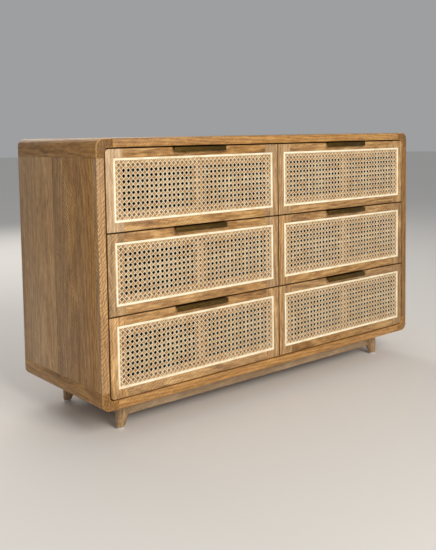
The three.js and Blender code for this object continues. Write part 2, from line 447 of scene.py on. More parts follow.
@dataclass(frozen=True)
class SolidWood:
    """Planed hardwood under a thin satin lacquer, from broad bands down to open pores.

    Attributes:
        name: What the timber is.
        pale: Its lightest fibres.
        body: Its main colour.
        deep: Its latewood and dark streaks.
        grey: The greyer, pinker sapwood that some boards turn to.
        grey_deep: The sapwood's own dark streaks.
        ring_mm: The spacing of its growth rings.
        roughness: The lacquer's roughness.
        contrast: How far light and dark stand apart.
        clear: The share of its area that is free of knots.
    """

    name: str
    pale: str
    body: str
    deep: str
    grey: str = "#d0b592"
    grey_deep: str = "#8b7051"
    ring_mm: float = 9.0
    roughness: float = 0.5
    contrast: float = 1.0
    clear: float = 0.72

    def material(self) -> bpy.types.Material:
        """Build the material."""
        material, tree, shader = new_material(self.name)
        grain = add(tree, "Attribute", {}, "Vector", attribute_name="grain")
        tone = add(tree, "Attribute", {}, "Vector", attribute_name="tone")
        tone_light, tone_grey, tone_figure = add(tree, "SeparateXYZ", {0: tone}).node.outputs

        def stretched(
            source: Socket, along: float, across: float, detail: float, grit: float = 0.55
        ) -> Socket:
            """Noise drawn out along the grain, given as features per metre."""
            scaled = add(tree, "VectorMath", {0: source, 1: (along, across, across)}, operation="MULTIPLY")
            look = {"Vector": scaled, "Scale": 1.0, "Detail": detail, "Roughness": grit}
            return add(tree, "TexNoise", look, "Fac")

        # the fibres wander a few millimetres from straight, in waves some 400 mm long and 110 mm wide
        waves = add(tree, "VectorMath", {0: grain, 1: (2.6, 9.0, 9.0)}, operation="MULTIPLY")
        wander = add(tree, "TexNoise", {"Vector": waves, "Scale": 1.0, "Detail": 2.0}, "Color")
        centred = add(tree, "VectorMath", {0: wander, 1: (0.5, 0.5, 0.5)}, operation="SUBTRACT")
        strayed = {0: centred, 1: (0.0, 0.03, 0.03), 2: grain}
        fibres = add(tree, "VectorMath", strayed, operation="MULTIPLY_ADD")

        # growth rings round the heart, which leans, so that a flat face shows arches
        lengthwise, crosswise, inwards = add(tree, "SeparateXYZ", {0: fibres}).node.outputs
        flat = add(tree, "CombineXYZ", {0: 0.0, 1: crosswise, 2: inwards})
        radius = add(tree, "VectorMath", {0: flat}, "Value", operation="LENGTH")
        leaning = add(tree, "Math", {0: lengthwise, 1: 0.035, 2: radius}, operation="MULTIPLY_ADD")
        turns = add(tree, "Math", {0: leaning, 1: 2 * math.pi / (self.ring_mm * MM)}, operation="MULTIPLY")
        swing = add(tree, "Math", {0: turns}, operation="SINE")
        rings = add(tree, "Math", {0: swing, 1: 0.5, 2: 0.5}, operation="MULTIPLY_ADD")

        # bands 77 mm wide, streaks 12.5 mm, flecks 7 mm, fibres 2 mm and pores 0.9 mm: real fibres and pores
        # are a quarter of that, and are drawn coarser so that they show
        broad = stretched(fibres, 1.7, 13.0, 3.0)
        streaks = stretched(fibres, 3.5, 80.0, 4.0, 0.6)
        flecks = stretched(fibres, 30.0, 150.0, 3.0, 0.6)
        fine = stretched(fibres, 14.0, 480.0, 3.0, 0.6)
        pores = stretched(grain, 70.0, 1100.0, 1.0)
        mixed = add(tree, "Math", {0: broad, 1: 0.4}, operation="MULTIPLY")
        for pattern, share in ((rings, 0.16), (streaks, 0.45), (flecks, 0.85)):
            mixed = add(tree, "Math", {0: pattern, 1: share, 2: mixed}, operation="MULTIPLY_ADD")
        offset = add(tree, "Math", {0: mixed, 1: 0.93}, operation="SUBTRACT")
        levels = {0: offset, 1: 1.5 * self.contrast, 2: 0.5}
        spread = add(tree, "Math", levels, operation="MULTIPLY_ADD", use_clamp=True)
        woods = [(0.08, linear(self.deep)), (0.45, linear(self.body)), (0.9, linear(self.pale))]
        golden = add(tree, "ValToRGB", {"Fac": spread}, stops=woods)

        # greyer boards, in soft patches
        cloud = {0: stretched(grain, 2.2, 11.0, 2.0), 1: 1.2, 2: -0.6}
        patch = add(tree, "Math", cloud, operation="MULTIPLY_ADD")
        patchy = add(tree, "Math", {0: tone_grey, 1: 0.8, 2: 0.1}, operation="MULTIPLY_ADD")
        greying = {0: patch, 1: patchy, 2: tone_grey}
        greyness = add(tree, "Math", greying, operation="MULTIPLY_ADD", use_clamp=True)
        softened = add(tree, "Math", {0: spread, 1: 0.7, 2: 0.15}, operation="MULTIPLY_ADD")
        greys = {0: softened, 6: linear(self.grey_deep), 7: linear(self.grey)}
        sapwood = add(tree, "Mix", greys, 2, data_type="RGBA")
        coloured = add(tree, "Mix", {0: greyness, 6: golden, 7: sapwood}, 2, data_type="RGBA")

        # ripple figure: soft bars that cross the grain aslant, some 7 mm apart, strongest in places
        slanted = add(tree, "Mapping", {"Vector": fibres, "Rotation": (0.0, -0.8, 0.75)})
        bars = {"Vector": slanted, "Scale": 44.0, "Distortion": 7.0, "Detail": 2.0, "Detail Scale": 0.9}
        ripple = add(tree, "TexWave", bars, "Fac", wave_type="BANDS", bands_direction="X")
        strong = {0: stretched(grain, 6.0, 24.0, 1.0), 1: 2.2, 2: -0.5}
        ripple_place = add(tree, "Math", strong, operation="MULTIPLY_ADD", use_clamp=True)
        figure = add(tree, "Math", {0: tone_figure, 1: ripple_place}, operation="MULTIPLY")
        depth = add(tree, "Math", {0: figure, 1: 0.8}, operation="MULTIPLY")
        bar = add(tree, "Math", {0: ripple, 1: 0.5}, operation="SUBTRACT")
        ripple_light = add(tree, "Math", {0: bar, 1: depth, 2: 1.0}, operation="MULTIPLY_ADD")

        # small dark pin knots, drawn out along the fibres
        drawn_out = add(tree, "VectorMath", {0: fibres, 1: (3.0, 20.0, 0.0)}, operation="MULTIPLY")
        knots = {"Vector": drawn_out, "Scale": 1.0}
        distance = add(tree, "TexVoronoi", knots, "Distance", voronoi_dimensions="2D")
        chance = add(tree, "SeparateXYZ", {0: distance.node.outputs["Color"]})
        some = add(tree, "Math", {0: chance, 1: self.clear}, operation="GREATER_THAN")
        near = add(tree, "Math", {0: distance, 1: -16.0, 2: 1.25}, operation="MULTIPLY_ADD", use_clamp=True)
        knot = add(tree, "Math", {0: some, 1: near}, operation="MULTIPLY")
        knot_light = add(tree, "Math", {0: knot, 1: -0.62, 2: 1.0}, operation="MULTIPLY_ADD")

        fibre_light = add(tree, "Math", {0: fine, 1: 0.7, 2: 0.65}, operation="MULTIPLY_ADD")
        open_pores = [(0.0, (1, 1, 1, 1)), (0.62, (1, 1, 1, 1)), (0.76, (0.62, 0.62, 0.62, 1))]
        pore_light = add(tree, "ValToRGB", {"Fac": pores}, stops=open_pores)
        light = tone_light
        for share in (ripple_light, fibre_light, knot_light, pore_light):
            light = add(tree, "Math", {0: light, 1: share}, operation="MULTIPLY")
        final = add(tree, "VectorMath", {0: coloured, "Scale": light}, operation="SCALE")

        # lacquer lies smooth on hard latewood and sinks into the pores
        rough = add(tree, "Math", {0: streaks, 1: -0.16, 2: self.roughness + 0.08}, operation="MULTIPLY_ADD")
        raised = add(tree, "Math", {0: fine, 1: 0.5}, operation="MULTIPLY")
        relief = add(tree, "Math", {0: pore_light, 1: 0.6, 2: raised}, operation="MULTIPLY_ADD")
        bump = add(tree, "Bump", {"Strength": 0.25, "Distance": 0.3 * MM, "Height": relief})
        feed(shader, {"Base Color": final, "Roughness": rough, "Normal": bump, "IOR": 1.5})
        return material


# golden, open-grained boards of the carcass
MANGO = SolidWood(
    "lacquered_mango", pale="#c49655", body="#9b6d33", deep="#704a1e", contrast=0.85, clear=0.87
)
# the fronts' narrow stock: paler, with stronger streaks and hardly a knot
FRONT_MANGO = SolidWood(
    "lacquered_mango_front", pale="#d2a668", body="#a5773b", deep="#754e22", contrast=1.3, clear=0.96
)
# the same timber, greyer and darker: painted shade under the carcass
SHADED_BASE_WOOD = SolidWood(
    "base_mango_painted_shade", pale="#a7855a", body="#806137", deep="#583e1f", ring_mm=7.0, clear=1.0
)
# clean pale softwood of the drawer boxes, hardly lacquered
PINE = SolidWood(
    "planed_pine", pale="#e3c595", body="#d2ab74", deep="#b08350", grey="#e6d3b3", grey_deep="#c3a47c",
    ring_mm=5.0, roughness=0.6, contrast=0.6, clear=0.85,
)
# peeled veneer, whose wide wild figure comes from rings cut almost flat
PLYWOOD = SolidWood(
    "rotary_cut_plywood", pale="#c29b6d", body="#a87f54", deep="#85603c", grey="#c9ae8c", grey_deep="#947757",
    ring_mm=22.0, roughness=0.62, contrast=0.7, clear=0.9,
)


@dataclass(frozen=True)
class Cane:
    """Split rattan: flat strands with a hard silky skin, each a little lighter or darker than the next."""

    pale: str = "#fff9e0"
    body: str = "#fce2b3"
    deep: str = "#bd8a4e"

    def material(self) -> bpy.types.Material:
        """Build the material: each strand's own shade, with clouds 26 mm wide and specks 2.4 mm wide."""
        material, tree, shader = new_material("split_rattan_cane")
        strand = add(tree, "Attribute", {}, "Vector", attribute_name="strand")
        tint = add(tree, "SeparateXYZ", {0: strand})
        spot = add(tree, "TexCoord", {}, "Object")
        cloudy = add(tree, "TexNoise", {"Vector": spot, "Scale": 38.0, "Detail": 3.0}, "Fac")
        specks = add(tree, "TexNoise", {"Vector": spot, "Scale": 420.0, "Detail": 2.0}, "Fac")
        tint = add(tree, "Math", {0: cloudy, 1: 0.55, 2: tint}, operation="MULTIPLY_ADD")
        tint = add(tree, "Math", {0: specks, 1: 0.35, 2: tint}, operation="MULTIPLY_ADD", use_clamp=True)
        shades = [(0.18, linear(self.deep)), (0.5, linear(self.body)), (0.95, linear(self.pale))]
        colour = add(tree, "ValToRGB", {"Fac": tint}, stops=shades)
        feed(shader, {"Base Color": colour, "Roughness": 0.42, "IOR": 1.5})
        return material


@dataclass(frozen=True)
class AgedBrass:
    """Brushed brass left to darken: olive brown on the flats, brighter where fingers rub it."""

    dark: str = "#49371a"
    body: str = "#5f4b26"
    rubbed: str = "#7d6638"

    def material(self) -> bpy.types.Material:
        """Build the material: brushed lines 1.1 mm apart, coarser than real ones so that they show."""
        material, tree, shader = new_material("aged_brushed_brass")
        spot = add(tree, "TexCoord", {}, "Object")
        brushed = add(tree, "VectorMath", {0: spot, 1: (14.0, 900.0, 900.0)}, operation="MULTIPLY")
        lines = add(tree, "TexNoise", {"Vector": brushed, "Scale": 1.0, "Detail": 3.0}, "Fac")
        clouds = add(tree, "TexNoise", {"Vector": spot, "Scale": 55.0, "Detail": 3.0}, "Fac")
        both = add(tree, "Math", {0: clouds, 1: 0.4, 2: lines}, operation="MULTIPLY_ADD")
        patina = [(0.45, linear(self.dark)), (0.7, linear(self.body)), (0.95, linear(self.rubbed))]
        colour = add(tree, "ValToRGB", {"Fac": both}, stops=patina)
        rough = add(tree, "Math", {0: lines, 1: 0.2, 2: 0.36}, operation="MULTIPLY_ADD")
        bump = add(tree, "Bump", {"Strength": 0.15, "Distance": 0.1 * MM, "Height": lines})
        feed(shader, {"Base Color": colour, "Roughness": rough, "Normal": bump, "Metallic": 1.0})
        return material


@dataclass(frozen=True)
class Plain:
    """A smooth finish with a little unevenness: moulded nylon, zinc plate, or the dull black of painted shade.

    Attributes:
        name: What the finish is.
        light: Its lighter colour.
        dark: Its darker colour.
        roughness: Its middling roughness.
        metallic: 1 for a metal, 0 for anything else.
        sheen_level: How strong its gloss is, 0.5 for the common amount.
        mottle_mm: The size of its mottling.
    """

    name: str
    light: str
    dark: str
    roughness: float
    metallic: float = 0.0
    sheen_level: float = 0.5
    mottle_mm: float = 12.0

    def material(self) -> bpy.types.Material:
        """Build the material."""
        material, tree, shader = new_material(self.name)
        spot = add(tree, "TexCoord", {}, "Object")
        grit = {"Vector": spot, "Scale": 1.0 / (self.mottle_mm * MM), "Detail": 4.0}
        mottle = add(tree, "TexNoise", grit, "Fac")
        shades = [(0.3, linear(self.dark)), (0.7, linear(self.light))]
        colour = add(tree, "ValToRGB", {"Fac": mottle}, stops=shades)
        rough = add(tree, "Math", {0: mottle, 1: 0.12, 2: self.roughness - 0.06}, operation="MULTIPLY_ADD")
        feed(shader, {"Base Color": colour, "Roughness": rough})
        feed(shader, {"Metallic": self.metallic, "Specular IOR Level": self.sheen_level})
        return material


@dataclass(frozen=True)
class PeeledRattan:
    """Bleached rattan moulding under clear lacquer: cream, with faint long fibres and small tan nicks."""

    pale: str = "#fbf2d8"
    deep: str = "#dfca9c"

    def material(self) -> bpy.types.Material:
        """Build the material: fibres 1.4 mm apart and clouds 45 mm wide."""
        material, tree, shader = new_material("bleached_rattan_bead")
        grain = add(tree, "Attribute", {}, "Vector", attribute_name="grain")
        fibres = add(tree, "VectorMath", {0: grain, 1: (18.0, 700.0, 700.0)}, operation="MULTIPLY")
        lines = add(tree, "TexNoise", {"Vector": fibres, "Scale": 1.0, "Detail": 3.0}, "Fac")
        clouds = add(tree, "TexNoise", {"Vector": grain, "Scale": 22.0, "Detail": 2.0}, "Fac")
        both = add(tree, "Math", {0: lines, 1: 0.6, 2: clouds}, operation="MULTIPLY_ADD")
        shades = [(0.5, linear(self.deep)), (0.85, linear(self.pale))]
        colour = add(tree, "ValToRGB", {"Fac": both}, stops=shades)
        rough = add(tree, "Math", {0: lines, 1: 0.16, 2: 0.34}, operation="MULTIPLY_ADD")
        bump = add(tree, "Bump", {"Strength": 0.2, "Distance": 0.15 * MM, "Height": lines})
        feed(shader, {"Base Color": colour, "Roughness": rough, "Normal": bump})
        return material


# pale grey nylon with the dull even gloss of a mould
NYLON = Plain("moulded_nylon_glide", light="#d6d8d5", dark="#bfc2c0", roughness=0.45, mottle_mm=4.0)
# zinc plate, which shines softly in spots
ZINC = Plain("zinc_plated_screw", "#b9b6a8", "#8f8b7c", roughness=0.35, metallic=1.0, mottle_mm=2.0)
# painted shade: a dull black that stands in for the shade inside the drawer, so that it reads as a hole
SHADE_BLACK = Plain(
    "painted_shade_black", light="#070706", dark="#030303", roughness=0.9, sheen_level=0.1, mottle_mm=3.0
)


# ------------------------------------------------------------------------------------------- carcass


@dataclass
class Carcass:
    """The fixed box: top, bottom, sides, corner blocks, back, divider and the frames that carry the drawers.

    Attributes:
        wood: The finish of what shows.
        inner: The finish of what is inside and behind.
        metal: The screws' finish.
        body: The body that all of it is part of.
        arris: The radius of the rounded edges.
        arris_painted_highlight: How much lighter the corner blocks' front arris is painted: a painted
            highlight where the rounded edge catches the light.
        outer_radius: The corner blocks' radius outside.
        inner_radius: Their radius inside.
        bottom_thick: The bottom board's thickness.
        runner_wide: The width of the runners in the web frames and on the bottom.
        edge_gap: How far the bottom's outer runners stay from its ends.
        middle_gap: How far its inner runners stay from the middle.
        front_gap: How far all four stay behind the front edge.
        rear_gap: How far they stay from the rear edge.
        screw_edge: How far the back's screws stand from its edges.
        screw_radius: Their heads' radius.
        screw_high: Their heads' height.
        divider_lip: The depth of the solid strip on the divider's front edge.
        front_rail: The width of a web frame's front rail.
        rear_rail: The width of its rear rail.
        side_seams: Glue lines of the left side, as distances behind the front edge.
        far_seams: The same for the right side.
        top_seams: The same for the top and bottom boards.
        side_tones: The tones of the left side's boards, from the front.
        far_tones: The same for the right side.
        long_tones: The same for the top and bottom.
    """

    wood: bpy.types.Material
    inner: bpy.types.Material
    metal: bpy.types.Material
    body: str = "carcass"
    arris: float = 2.0 * MM
    # painted highlight on the corner blocks' rounded front arris
    arris_painted_highlight: float = 1.75
    outer_radius: float = 24 * MM
    inner_radius: float = 15 * MM
    bottom_thick: float = 26 * MM
    runner_wide: float = 36 * MM
    edge_gap: float = 4 * MM
    middle_gap: float = 12 * MM
    front_gap: float = 27 * MM
    rear_gap: float = 24 * MM
    screw_edge: float = 12 * MM
    screw_radius: float = 3.6 * MM
    screw_high: float = 1.8 * MM
    divider_lip: float = 12 * MM
    front_rail: float = 60 * MM
    rear_rail: float = 40 * MM
    side_seams: tuple[float, ...] = (18 * MM, 122 * MM, 257 * MM, 461 * MM)
    far_seams: tuple[float, ...] = (18 * MM, 108 * MM, 236 * MM, 371 * MM)
    top_seams: tuple[float, ...] = (92 * MM, 214 * MM, 318 * MM, 421 * MM)
    side_tones: tuple[Tone, ...] = (
        Tone(1.08, 0.35, 1.2), Tone(1.1, 0.0, 0.5), Tone(0.97, 0.15, 1.1), Tone(1.08, 0.4, 0.3),
        Tone(0.92, 0.45, 0.2),
    )
    far_tones: tuple[Tone, ...] = (
        Tone(0.7, 0.0, 0.5), Tone(1.0, 0.15, 0.5), Tone(1.0, 0.3, 0.4), Tone(0.96, 0.15, 0.8),
        Tone(0.98, 0.35, 0.3),
    )
    long_tones: tuple[Tone, ...] = (
        Tone(1.12, 0.05, 0.5), Tone(0.95, 0.1, 0.6), Tone(1.04, 0.25, 0.4), Tone(0.9, 0.05, 0.7),
        Tone(1.0, 0.35, 0.5),
    )

    def build(self) -> None:
        """Model and dress every fixed piece of the box."""
        self.sides()
        self.top()
        self.bottom()
        for sideways in ("left", "right"):
            for upright in ("top", "bottom"):
                self.corner(upright, sideways)
        self.back()
        self.divider()
        for sideways in ("left", "right"):
            for level in ("lower", "upper"):
                self.web_frame(level, sideways)

    def strips(self, start: float, end: float, seams: Sequence[float]) -> list[tuple[float, float]]:
        """Split a depth at its glue lines.

        Args:
            start: The front edge.
            end: The rear edge.
            seams: Distances behind the front edge.

        Returns:
            Each strip's start and end.
        """
        marks = [start, *[start + seam for seam in seams], end]
        return list(zip(marks[:-1], marks[1:]))

    def sides(self) -> None:
        """Glue up the two sides from upright boards of uneven width."""
        for name, seams, tones in (
            ("left_side", self.side_seams, self.side_tones), ("right_side", self.far_seams, self.far_tones)
        ):
            low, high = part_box(name)
            bench = Joinery(f"{name}_boards")
            for (near, far), tone in zip(self.strips(low[1], high[1], seams), tones):
                board = block((low[0], near, low[2]), (high[0], far, high[2]))
                for x in (low[0], high[0]):
                    for y in (low[1], high[1]):
                        if y in (near, far):
                            round_edges(board, on_line(x=x, y=y), self.arris, 3)
                bench.add(board, Grain.ALONG_Z_SIDE, tone)
            place(bench.glue(), self.wood, self.body, [name])

    def long_boards(self, bench: Joinery, low: Point, high: Point) -> None:
        """Glue boards along the width, with the front and rear arrises rounded.

        Args:
            bench: Where the boards go.
            low: The panel's lowest corner.
            high: Its highest corner.
        """
        for (near, far), tone in zip(self.strips(low[1], high[1], self.top_seams), self.long_tones):
            board = block((low[0], near, low[2]), (high[0], far, high[2]))
            for z in (low[2], high[2]):
                for y in (low[1], high[1]):
                    if y in (near, far):
                        round_edges(board, on_line(y=y, z=z), self.arris, 3)
            bench.add(board, Grain.ALONG_X_TOP, tone)

    def top(self) -> None:
        """Glue up the top from long boards."""
        low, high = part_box("top_panel")
        bench = Joinery("top_boards")
        self.long_boards(bench, low, high)
        place(bench.glue(), self.wood, self.body, ["top_panel"])

    def bottom(self) -> None:
        """Glue up the bottom, with the runner strips that carry the lowest drawers."""
        low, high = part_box("bottom_panel")
        floor = low[2] + self.bottom_thick
        bench = Joinery("bottom_boards")
        self.long_boards(bench, low, (high[0], high[1], floor))
        place(bench.glue(), self.wood, self.body, ["bottom_panel"])
        strips = Joinery("bottom_runner_strips")
        outer, inner, wide = high[0] - self.edge_gap, self.middle_gap, self.runner_wide
        near, far, just_above = low[1] + self.front_gap, high[1] - self.rear_gap, floor + 0.1 * MM
        for start in (-outer, -inner - wide, inner, outer - wide):
            lowest, highest = (start, near, just_above), (start + wide, far, high[2])
            strips.board(lowest, highest, Grain.ALONG_Y_TOP, Tone(), 0.8 * MM)
        place(strips.glue(), self.inner, self.body)

    def corner(self, upright: str, sideways: str) -> None:
        """Shape one thick bend from a solid block, its grain running front to back.

        Args:
            upright: Top or bottom.
            sideways: Left or right.
        """
        name = f"corner_block_{upright}_{sideways}"
        low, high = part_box(name)
        side_low, side_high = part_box(f"{sideways}_side")
        top_low, top_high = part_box("top_panel")
        wall = top_high[2] - top_low[2] if upright == "top" else self.bottom_thick
        out_x, in_x = (low[0], high[0]) if sideways == "left" else (high[0], low[0])
        out_z, in_z = (high[2], low[2]) if upright == "top" else (low[2], high[2])
        face_x = side_high[0] if sideways == "left" else side_low[0]
        face_z = out_z - wall if upright == "top" else out_z + wall
        piece = block(low, high)
        round_edges(piece, on_line(x=out_x, z=out_z), self.outer_radius, 14)
        far_x, far_z = 2 * in_x - out_x, 2 * in_z - out_z
        cutter = block(
            (min(face_x, far_x), low[1] - 1 * MM, min(face_z, far_z)),
            (max(face_x, far_x), high[1] + 1 * MM, max(face_z, far_z)),
        )
        round_edges(cutter, on_line(x=face_x, z=face_z), self.inner_radius, 8)
        carve(piece, cutter)
        at_joints = (on_line(x=in_x), on_line(z=in_z))
        for y in (low[1], high[1]):
            at_end = on_line(y=y)
            round_edges(
                piece, lambda a, b: at_end(a, b) and not any(joint(a, b) for joint in at_joints), self.arris, 3
            )
        bench = Joinery(f"{name}_bend")
        tone = Tone(0.95, 0.0, 0.3, ends=0.55 if upright == "top" else 0.8)
        # painted highlight along the front arris, where the rounding catches the light
        bench.add(piece, Grain.ALONG_Y, tone, 0.45 * MM, self.painted_arris_highlight(low[1]))
        place(bench.glue(), self.wood, self.body, [name])

    def painted_arris_highlight(self, face: float) -> PaintedLight:
        """Paint a highlight along the front arris, where its rounding catches the light.

        Args:
            face: Where the front face is.

        Returns:
            How much lighter a point is painted.
        """

        def shine(point: Vector) -> float:
            """Painted highlight on the rounded edge, plain elsewhere."""
            return self.arris_painted_highlight if 0.1 * MM < point.y - face < self.arris - 0.1 * MM else 1.0

        return shine

    def back(self) -> None:
        """Cut the plywood back and drive its screws."""
        low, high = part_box("back_panel")
        piece = block(low, high)
        for x in (low[0], high[0]):
            for z in (low[2], high[2]):
                round_edges(piece, on_line(x=x, z=z), self.inner_radius - 1 * MM, 6)
        bench = Joinery("back_board")
        bench.add(piece, Grain.ALONG_X, Tone(0.95, 0.3, 0.0), 0.4 * MM)
        place(bench.glue(), self.inner, self.body, ["back_panel"])
        edge = self.screw_edge
        across = [low[0] + edge + (high[0] - low[0] - 2 * edge) * i / 7 for i in range(8)]
        upward = [low[2] + edge + (high[2] - low[2] - 2 * edge) * i / 4 for i in range(1, 4)]
        spots = [(x, z) for x in across for z in (low[2] + edge, high[2] - edge)]
        spots += [(x, z) for z in upward for x in (low[0] + edge, high[0] - edge, 0.0)]
        pattern = self.screw()
        heads = [copy_to(pattern, (x, high[1], z), "screw") for x, z in spots]
        bpy.data.objects.remove(pattern, do_unlink=True)
        place(join(heads, "back_board_screws"), self.metal, self.body)

    def screw(self) -> bpy.types.Object:
        """Model one domed screw head with a crossed recess, facing back from the world's middle."""
        bpy.ops.object.select_all(action="DESELECT")
        bpy.ops.mesh.primitive_cylinder_add(
            vertices=20, radius=self.screw_radius, depth=self.screw_high,
            location=(0, self.screw_high / 2, 0), rotation=(math.pi / 2, 0, 0),
        )
        head = bpy.context.active_object
        settle(head)
        for half_x, half_z in ((0.5 * MM, 2.0 * MM), (2.0 * MM, 0.5 * MM)):
            carve(head, block((-half_x, self.screw_high - 1 * MM, -half_z), (half_x, 3 * MM, half_z)))
        ease(head, 0.35 * MM)
        return head

    def divider(self) -> None:
        """Cut the upright between the columns, with a solid strip on its front edge."""
        low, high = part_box("center_divider")
        lip = low[1] + self.divider_lip
        bench = Joinery("divider_board")
        bench.board(low, (high[0], lip, high[2]), Grain.ALONG_Z_SIDE, Tone(0.9, 0.2, 0.2))
        bench.board((low[0], lip, low[2]), high, Grain.ALONG_Z_SIDE, Tone(0.95, 0.3, 0.0))
        place(bench.glue(), self.inner, self.body, ["center_divider"])

    def web_frame(self, level: str, sideways: str) -> None:
        """Join one flat open frame from two rails and two runners.

        Args:
            level: Lower or upper.
            sideways: Left or right.
        """
        name = f"web_frame_{level}_{sideways}"
        low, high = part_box(name)
        front, rear = low[1] + self.front_rail, high[1] - self.rear_rail
        bench = Joinery(f"{name}_joined")
        bench.board(low, (high[0], front, high[2]), Grain.ALONG_X_TOP, Tone(0.95, 0.2, 0.2))
        bench.board((low[0], rear, low[2]), high, Grain.ALONG_X_TOP, Tone(0.9, 0.3, 0.1))
        for start, end in ((low[0], low[0] + self.runner_wide), (high[0] - self.runner_wide, high[0])):
            bench.board((start, front, low[2]), (end, rear, high[2]), Grain.ALONG_Y_TOP, Tone(1.0, 0.2, 0.1))
        place(bench.glue(), self.inner, self.body, [name])


# ------------------------------------------------------------------------------------------- base


@dataclass
class Base:
    """The recessed base frame, its four turned legs and the glides under them.

    Attributes:
        wood: The finish of the frame and the legs.
        plastic: The glides' finish.
        body: The body that all of it is part of.
        foot_radius: A leg's radius at the floor end.
        foot_round: How far that end's rim is rounded.
        top_radius: A leg's radius at the top.
        swell: How much fatter than a plain cone it is half-way up.
        rings: How many steps its turned shape has.
        inset: How far the frame stands behind the carcass, front and rear.
        rail: The rails' thickness.
        plate: The corner plates' thickness.
        plate_wide: The corner plates' width.
        socket_room: The play round a leg where it passes the rails.
        plate_room: The play between a plate and the rails.
    """

    wood: bpy.types.Material
    plastic: bpy.types.Material
    body: str = "carcass"
    foot_radius: float = 13.3 * MM
    foot_round: float = 2.6 * MM
    top_radius: float = 24.5 * MM
    swell: float = 1.2 * MM
    rings: int = 10
    inset: float = 78 * MM
    rail: float = 22 * MM
    plate: float = 17.7 * MM
    plate_wide: float = 90 * MM
    socket_room: float = 0.6 * MM
    plate_room: float = 0.3 * MM

    def build(self) -> None:
        """Model and dress the base."""
        corners = [(sideways, endways) for sideways in ("left", "right") for endways in ("front", "rear")]
        self.frame(corners)
        for sideways, endways in corners:
            self.leg(sideways, endways)
            self.glide(sideways, endways)

    def turned_leg(self, sideways: str, endways: str, grow: float) -> bpy.types.Object:
        """Turn one leaning leg: a circle drawn up ring by ring.

        Args:
            sideways: Left or right.
            endways: Front or rear.
            grow: Added to every radius, for cutting its socket.

        Returns:
            The closed leg.
        """
        low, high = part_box(f"leg_{endways}_{sideways}")
        glide_low, glide_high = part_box(f"glide_{endways}_{sideways}")
        foot = [(a + b) / 2 for a, b in zip(glide_low, glide_high)]
        lean_x = (high[0] - self.top_radius if sideways == "left" else low[0] + self.top_radius) - foot[0]
        lean_y = (high[1] - self.top_radius if endways == "front" else low[1] + self.top_radius) - foot[1]
        step = (lean_x / self.rings, lean_y / self.rings, (high[2] - low[2]) / self.rings)
        bpy.ops.object.select_all(action="DESELECT")
        bpy.ops.mesh.primitive_circle_add(
            vertices=48, radius=self.foot_radius + grow, fill_type="NGON", location=(foot[0], foot[1], low[2])
        )
        piece = bpy.context.active_object
        settle(piece)
        bpy.ops.object.mode_set(mode="EDIT")
        bpy.ops.mesh.select_all(action="SELECT")
        last = self.foot_radius + grow
        for ring in range(1, self.rings + 1):
            along = ring / self.rings
            radius = self.foot_radius + (self.top_radius - self.foot_radius) * along
            radius += self.swell * math.sin(math.pi * along) + grow
            bpy.ops.mesh.extrude_region_move(TRANSFORM_OT_translate={"value": step})
            bpy.ops.transform.resize(value=(radius / last, radius / last, 1))
            last = radius
        bpy.ops.mesh.select_all(action="SELECT")
        bpy.ops.mesh.normals_make_consistent(inside=False)
        bpy.ops.object.mode_set(mode="OBJECT")
        return piece

    def leg(self, sideways: str, endways: str) -> None:
        """Finish one leg, its grain upright.

        Args:
            sideways: Left or right.
            endways: Front or rear.
        """
        name = f"leg_{endways}_{sideways}"
        bench = Joinery(f"turned_{name}")
        piece = self.turned_leg(sideways, endways, 0.0)
        round_edges(piece, on_line(z=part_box(name)[0][2]), self.foot_round, 4)
        bench.add(piece, Grain.ALONG_Z, Tone(1.05, 0.35, 0.4), 0.6 * MM)
        place(bench.glue(), self.wood, self.body, [name])

    def glide(self, sideways: str, endways: str) -> None:
        """Mould one glide: a disc with a rounded rim.

        Args:
            sideways: Left or right.
            endways: Front or rear.
        """
        name = f"glide_{endways}_{sideways}"
        low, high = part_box(name)
        middle = [(a + b) / 2 for a, b in zip(low, high)]
        bpy.ops.object.select_all(action="DESELECT")
        bpy.ops.mesh.primitive_cylinder_add(
            vertices=40, radius=(high[0] - low[0]) / 2, depth=high[2] - low[2], location=middle
        )
        piece = bpy.context.active_object
        settle(piece)
        round_edges(piece, on_line(z=low[2]), 1.4 * MM, 4)
        ease(piece, 0.3 * MM)
        place(join([piece], f"moulded_{name}"), self.plastic, self.body, [name])

    def frame(self, corners: Sequence[tuple[str, str]]) -> None:
        """Join the rails and the corner plates, scooped where the legs stand.

        Args:
            corners: Each leg's side and end.
        """
        low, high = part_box("base_frame")
        carcass_low, carcass_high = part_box("corner_block_bottom_left")
        front_low, rear_high = carcass_low[1] + self.inset, carcass_high[1] - self.inset
        left_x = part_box("leg_front_left")[1][0] - self.top_radius
        right_x = -left_x
        bench = Joinery("base_frame_joined")
        # the frame's strong greyness adds to the painted shade under the carcass
        grey = Tone(0.98, 0.85, 0.5)
        pieces: list[tuple[Point, Point, Grain]] = []
        for near, far in ((front_low, front_low + self.rail), (rear_high - self.rail, rear_high)):
            pieces.append(((left_x, near, low[2]), (right_x, far, high[2]), Grain.ALONG_X))
        start, end = front_low + self.rail, rear_high - self.rail
        for x in (left_x - self.rail / 2, right_x - self.rail / 2):
            pieces.append(((x, start, low[2]), (x + self.rail, end, high[2]), Grain.ALONG_Y))
        for lower, upper, grain in pieces:
            board = block(lower, upper)
            for sideways, endways in corners:
                carve(board, self.turned_leg(sideways, endways, self.socket_room))
            bench.add(board, grain, grey, 0.7 * MM)
        place(bench.glue(), self.wood, self.body, ["base_frame"])
        plates = Joinery("base_corner_plates")
        for sideways, endways in corners:
            x0 = low[0] if sideways == "left" else high[0] - self.plate_wide
            y0 = low[1] if endways == "front" else high[1] - self.plate_wide
            level = high[2] - self.plate
            board = block((x0, y0, level), (x0 + self.plate_wide, y0 + self.plate_wide, high[2]))
            for lower, upper, _ in pieces:
                room = self.plate_room
                carve(board, block([v - room for v in lower], [v + room for v in upper]))
            plates.add(board, Grain.ALONG_X_TOP, Tone(0.9, 0.6, 0.2), 0.5 * MM)
        place(plates.glue(), self.wood, self.body)


# ------------------------------------------------------------------------------------------- cane webbing


